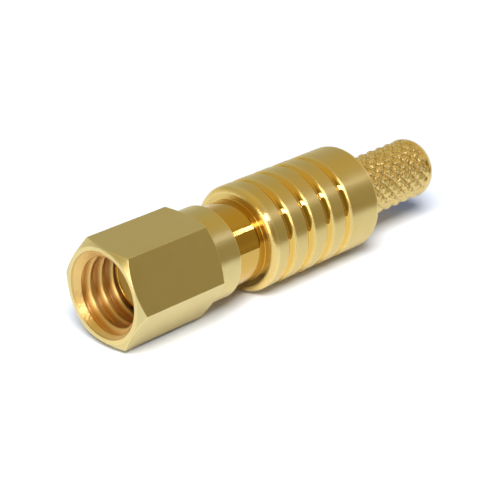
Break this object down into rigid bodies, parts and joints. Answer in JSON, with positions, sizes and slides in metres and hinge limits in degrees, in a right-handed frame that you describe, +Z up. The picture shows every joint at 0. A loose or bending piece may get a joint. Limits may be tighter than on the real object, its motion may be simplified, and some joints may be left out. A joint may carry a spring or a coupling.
{
  "type": "ssmc connector",
  "caption": "Straight coaxial cable plug with a threaded hexagon coupling nut, a grooved barrel and a diamond-knurled crimp stem, gold plated.",
  "frame": {"origin": "on the axis at the front of the outer contact, the interface's reference plane", "axes": "+X runs along the axis from the mating end to the crimp stem, and +Z is up with the plug lying on its barrel"},
  "size_m": [0.0223, 0.0054, 0.0054],
  "materials": {
    "nut_gold": "satin gold plate over brass",
    "body_gold": "bright gold plate over brass",
    "ring_bronze": "plain spring bronze",
    "contact_gold": "bright gold plate",
    "ptfe": "matte white PTFE"
  },
  "bodies": {
    "body": {"connector_body": "body_gold", "insulator": "ptfe", "centre_contact": "contact_gold"},
    "ring": {"retaining_ring": "ring_bronze"},
    "nut": {"coupling_nut": "nut_gold"}
  },
  "joints": [
    {"name": "nut_spin", "type": "hinge", "parent": "body", "child": "ring", "pos_m": [0.00284, 0, 0], "axis": [1, 0, 0], "continuous": true},
    {"name": "nut_slide", "type": "slide", "parent": "ring", "child": "nut", "axis": [1, 0, 0], "range_m": [0, 0.00179]}
  ]
}
